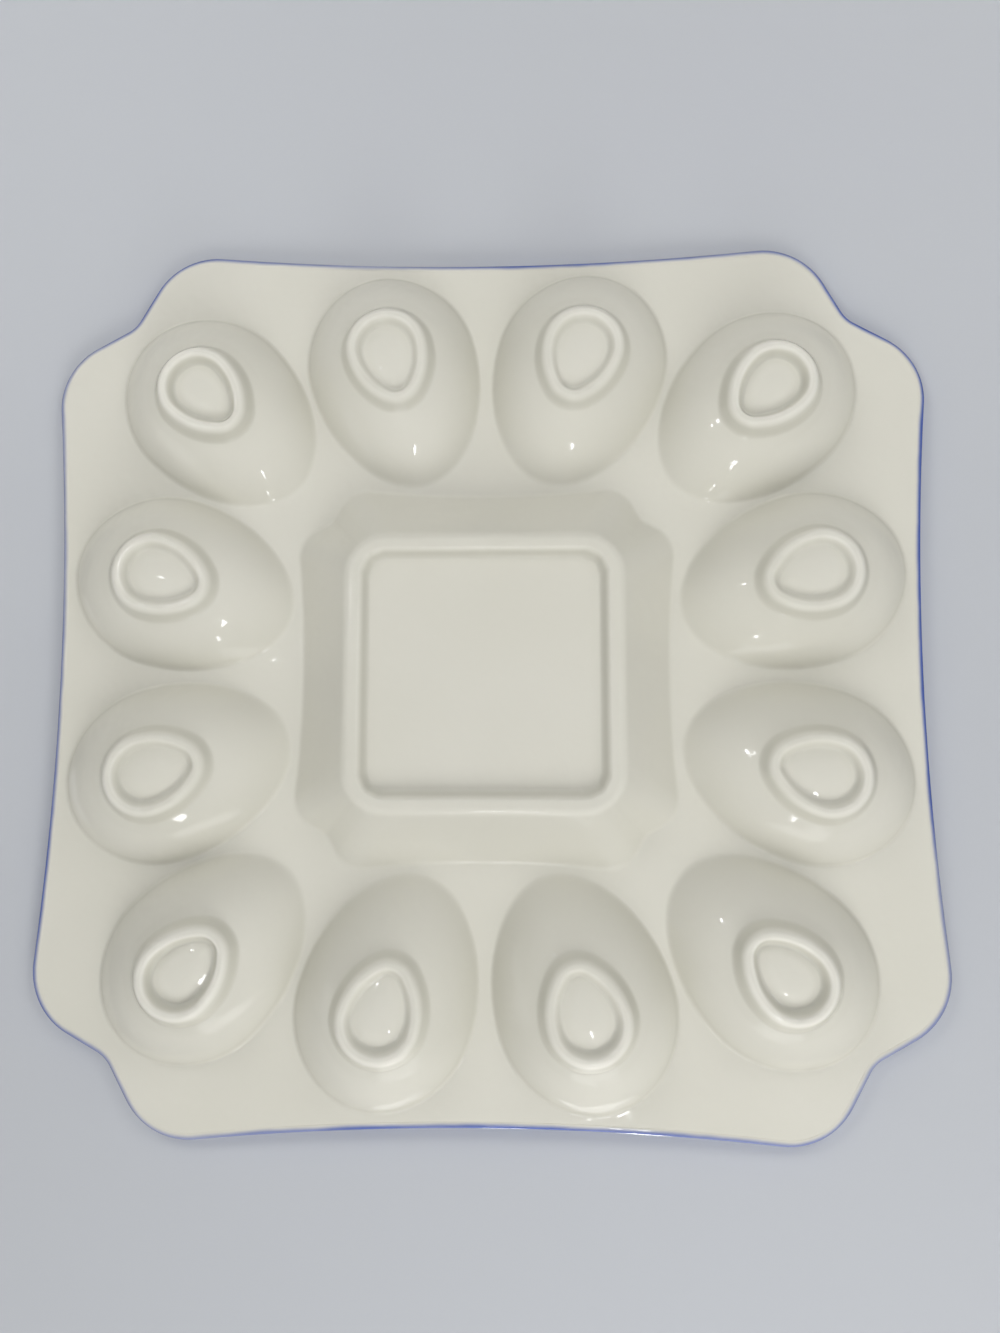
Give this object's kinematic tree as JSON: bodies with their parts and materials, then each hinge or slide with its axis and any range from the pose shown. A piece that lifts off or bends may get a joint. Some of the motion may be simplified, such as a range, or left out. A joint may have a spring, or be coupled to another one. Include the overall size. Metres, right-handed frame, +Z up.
{
  "type": "egg platter",
  "caption": "Square glazed platter with lobed, indented corners: egg-shaped wells round a square centre well hold halved eggs, and raised rings underneath are its feet.",
  "frame": {"origin": "centre of the platter on the plane that its feet stand on", "axes": "+Z up out of the wells, +X and +Y towards the middles of two sides"},
  "size_m": [0.2798, 0.2798, 0.0214],
  "materials": {
    "glazed_body": "gloss",
    "painted_line": "gloss"
  },
  "bodies": {
    "root": {"ground_plate": "glazed_body", "rim_line": "painted_line", "centre_well": "glazed_body", "centre_foot": "glazed_body", "egg_well_1": "glazed_body", "egg_well_2": "glazed_body", "egg_well_3": "glazed_body", "egg_well_4": "glazed_body", "egg_well_5": "glazed_body", "egg_well_6": "glazed_body", "egg_well_7": "glazed_body", "egg_well_8": "glazed_body", "egg_well_9": "glazed_body", "egg_well_10": "glazed_body", "egg_well_11": "glazed_body", "egg_well_12": "glazed_body", "egg_foot_1": "glazed_body", "egg_foot_2": "glazed_body", "egg_foot_3": "glazed_body", "egg_foot_4": "glazed_body", "egg_foot_5": "glazed_body", "egg_foot_6": "glazed_body", "egg_foot_7": "glazed_body", "egg_foot_8": "glazed_body", "egg_foot_9": "glazed_body", "egg_foot_10": "glazed_body", "egg_foot_11": "glazed_body", "egg_foot_12": "glazed_body"}
  },
  "joints": []
}
